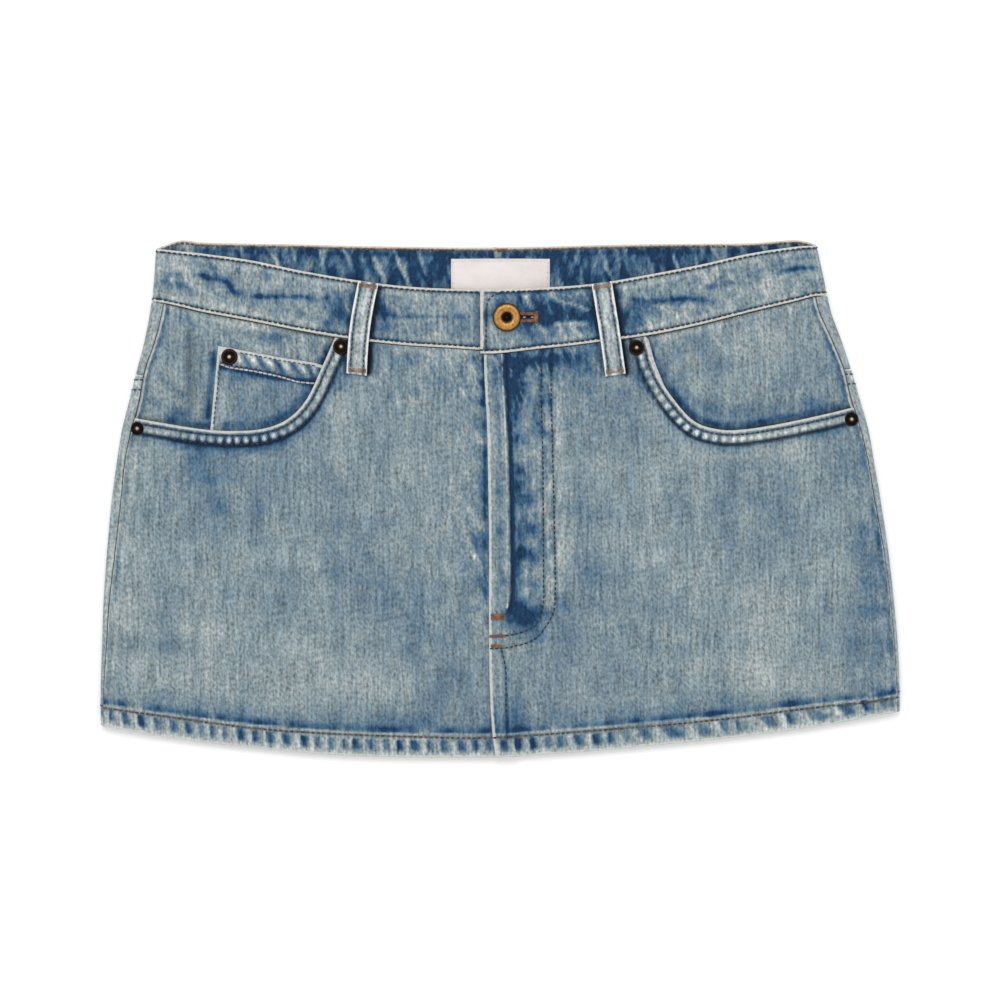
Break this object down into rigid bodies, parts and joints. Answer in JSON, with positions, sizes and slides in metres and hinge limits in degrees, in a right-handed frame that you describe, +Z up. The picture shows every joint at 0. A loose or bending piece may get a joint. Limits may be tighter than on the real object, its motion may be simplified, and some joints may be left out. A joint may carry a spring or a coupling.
{
  "type": "denim skirt",
  "caption": "Low-rise denim mini skirt laid flat, with scooped front pockets, a coin pocket, a button fly waist and belt loops.",
  "frame": {"origin": "on the surface the skirt lies on, under the middle of its box", "axes": "+X to the viewer's right across the front, +Y from the hem to the waist, +Z up off the surface, out of the front"},
  "size_m": [0.4797, 0.3088, 0.0134],
  "materials": {
    "denim": "worn washed twill",
    "denim_pale": "worn washed twill, paler",
    "label": "smooth woven tape",
    "brass": "aged, satin",
    "rivet": "dark antiqued copper"
  },
  "bodies": {
    "root": {"back_panel_left": "denim", "back_panel_right": "denim", "back_yoke_left": "denim", "back_yoke_right": "denim", "belt_loop_back": "denim", "belt_loop_front_left": "denim_pale", "belt_loop_front_right": "denim_pale", "coin_pocket": "denim", "front_panel_left": "denim", "front_panel_right": "denim", "pocket_facing_left": "denim", "pocket_facing_right": "denim", "rivet_coin_pocket": "rivet", "rivet_left_side": "rivet", "rivet_left_waist": "rivet", "rivet_right_side": "rivet", "rivet_right_waist": "rivet", "waist_button": "brass", "waist_label": "label", "waistband": "denim_pale"}
  },
  "joints": []
}
